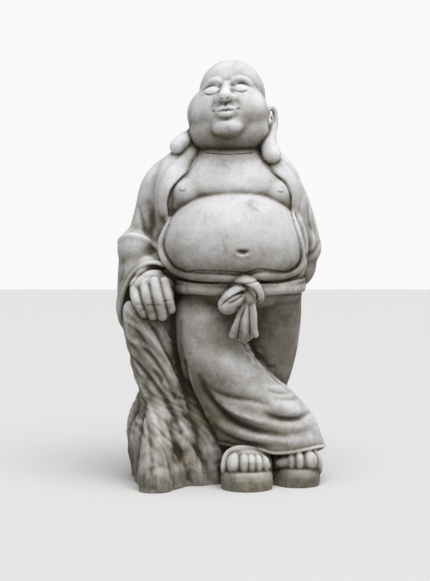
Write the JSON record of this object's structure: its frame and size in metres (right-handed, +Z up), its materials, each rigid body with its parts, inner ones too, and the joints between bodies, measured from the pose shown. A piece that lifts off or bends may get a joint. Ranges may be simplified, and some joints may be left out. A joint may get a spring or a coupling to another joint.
{
  "type": "garden statue",
  "caption": "Cast-stone garden statue of a standing, big-bellied monk in an open robe who leans one hand on a tree stump.",
  "frame": {"origin": "on the ground, at the middle of the footprint's box", "axes": "+Z up, the figure faces -Y, +X to the right of somebody who looks at its front"},
  "size_m": [0.4044, 0.3194, 0.8],
  "materials": {
    "cast_stone": "pale grey reconstituted stone, matt and finely grained, darker patina in the hollows"
  },
  "bodies": {
    "root": {"statue": "cast_stone"}
  },
  "joints": []
}
